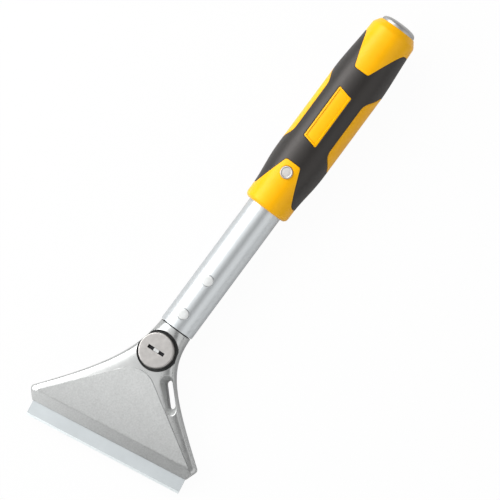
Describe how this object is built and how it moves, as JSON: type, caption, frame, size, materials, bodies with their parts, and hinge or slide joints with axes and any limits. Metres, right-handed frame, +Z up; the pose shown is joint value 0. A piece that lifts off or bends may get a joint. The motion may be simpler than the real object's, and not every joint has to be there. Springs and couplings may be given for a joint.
{
  "type": "heavy-duty scraper",
  "caption": "Hand scraper with a wide replaceable blade clamped in a cast head by a coin-slotted dial, a riveted round shaft and a two-colour moulded grip with a steel strike cap.",
  "frame": {"origin": "middle of the tool's footprint, on the plane under the handle's belly", "axes": "+X along the shaft from the blade to the strike cap, +Z up out of the dial's face, +Y to the left seen from the handle"},
  "size_m": [0.309, 0.1076, 0.0327],
  "materials": {
    "blade_steel": "ground strip steel",
    "cast_aluminium": "blasted and tumbled die casting",
    "bright_steel": "plated",
    "dial_steel": "turned and plated, knurled rim",
    "dark_steel": "blackened",
    "satin_tube": "satin anodised",
    "yellow_plastic": "semi-gloss moulding",
    "dark_elastomer": "matte moulding",
    "cap_steel": "polished"
  },
  "bodies": {
    "tool_body": {"front_jaw": "cast_aluminium", "guide_pin_left": "bright_steel", "guide_pin_right": "bright_steel", "dial_washer": "dark_steel", "shaft_tube": "satin_tube", "head_rivet_lower": "bright_steel", "head_rivet_upper": "bright_steel", "handle_core": "yellow_plastic", "grip_sleeve": "dark_elastomer", "handle_rivet": "bright_steel", "strike_cap": "cap_steel"},
    "clamp_screw": {"clamp_dial": "dial_steel", "clamp_stud": "bright_steel", "stud_clip": "dark_steel"},
    "moving_jaw": {"rear_jaw": "cast_aluminium", "clamp_nut": "bright_steel"},
    "blade_strip": {"blade": "blade_steel"}
  },
  "joints": [
    {"name": "dial_turn", "type": "hinge", "parent": "tool_body", "child": "clamp_screw", "pos_m": [-0.07895, 0.00503, 0.026], "axis": [0, 0, 1], "range_deg": [0, 540]},
    {"name": "jaw_open", "type": "slide", "parent": "tool_body", "child": "moving_jaw", "axis": [0, 0, -1], "range_m": [0, 0.0015]},
    {"name": "blade_slide", "type": "slide", "parent": "tool_body", "child": "blade_strip", "axis": [-0.9863, -0.165, 0], "range_m": [0, 0.014]}
  ],
  "couplings": [
    {"joint": "dial_turn", "follows": "jaw_open", "rad_per_m": 6283.2}
  ]
}
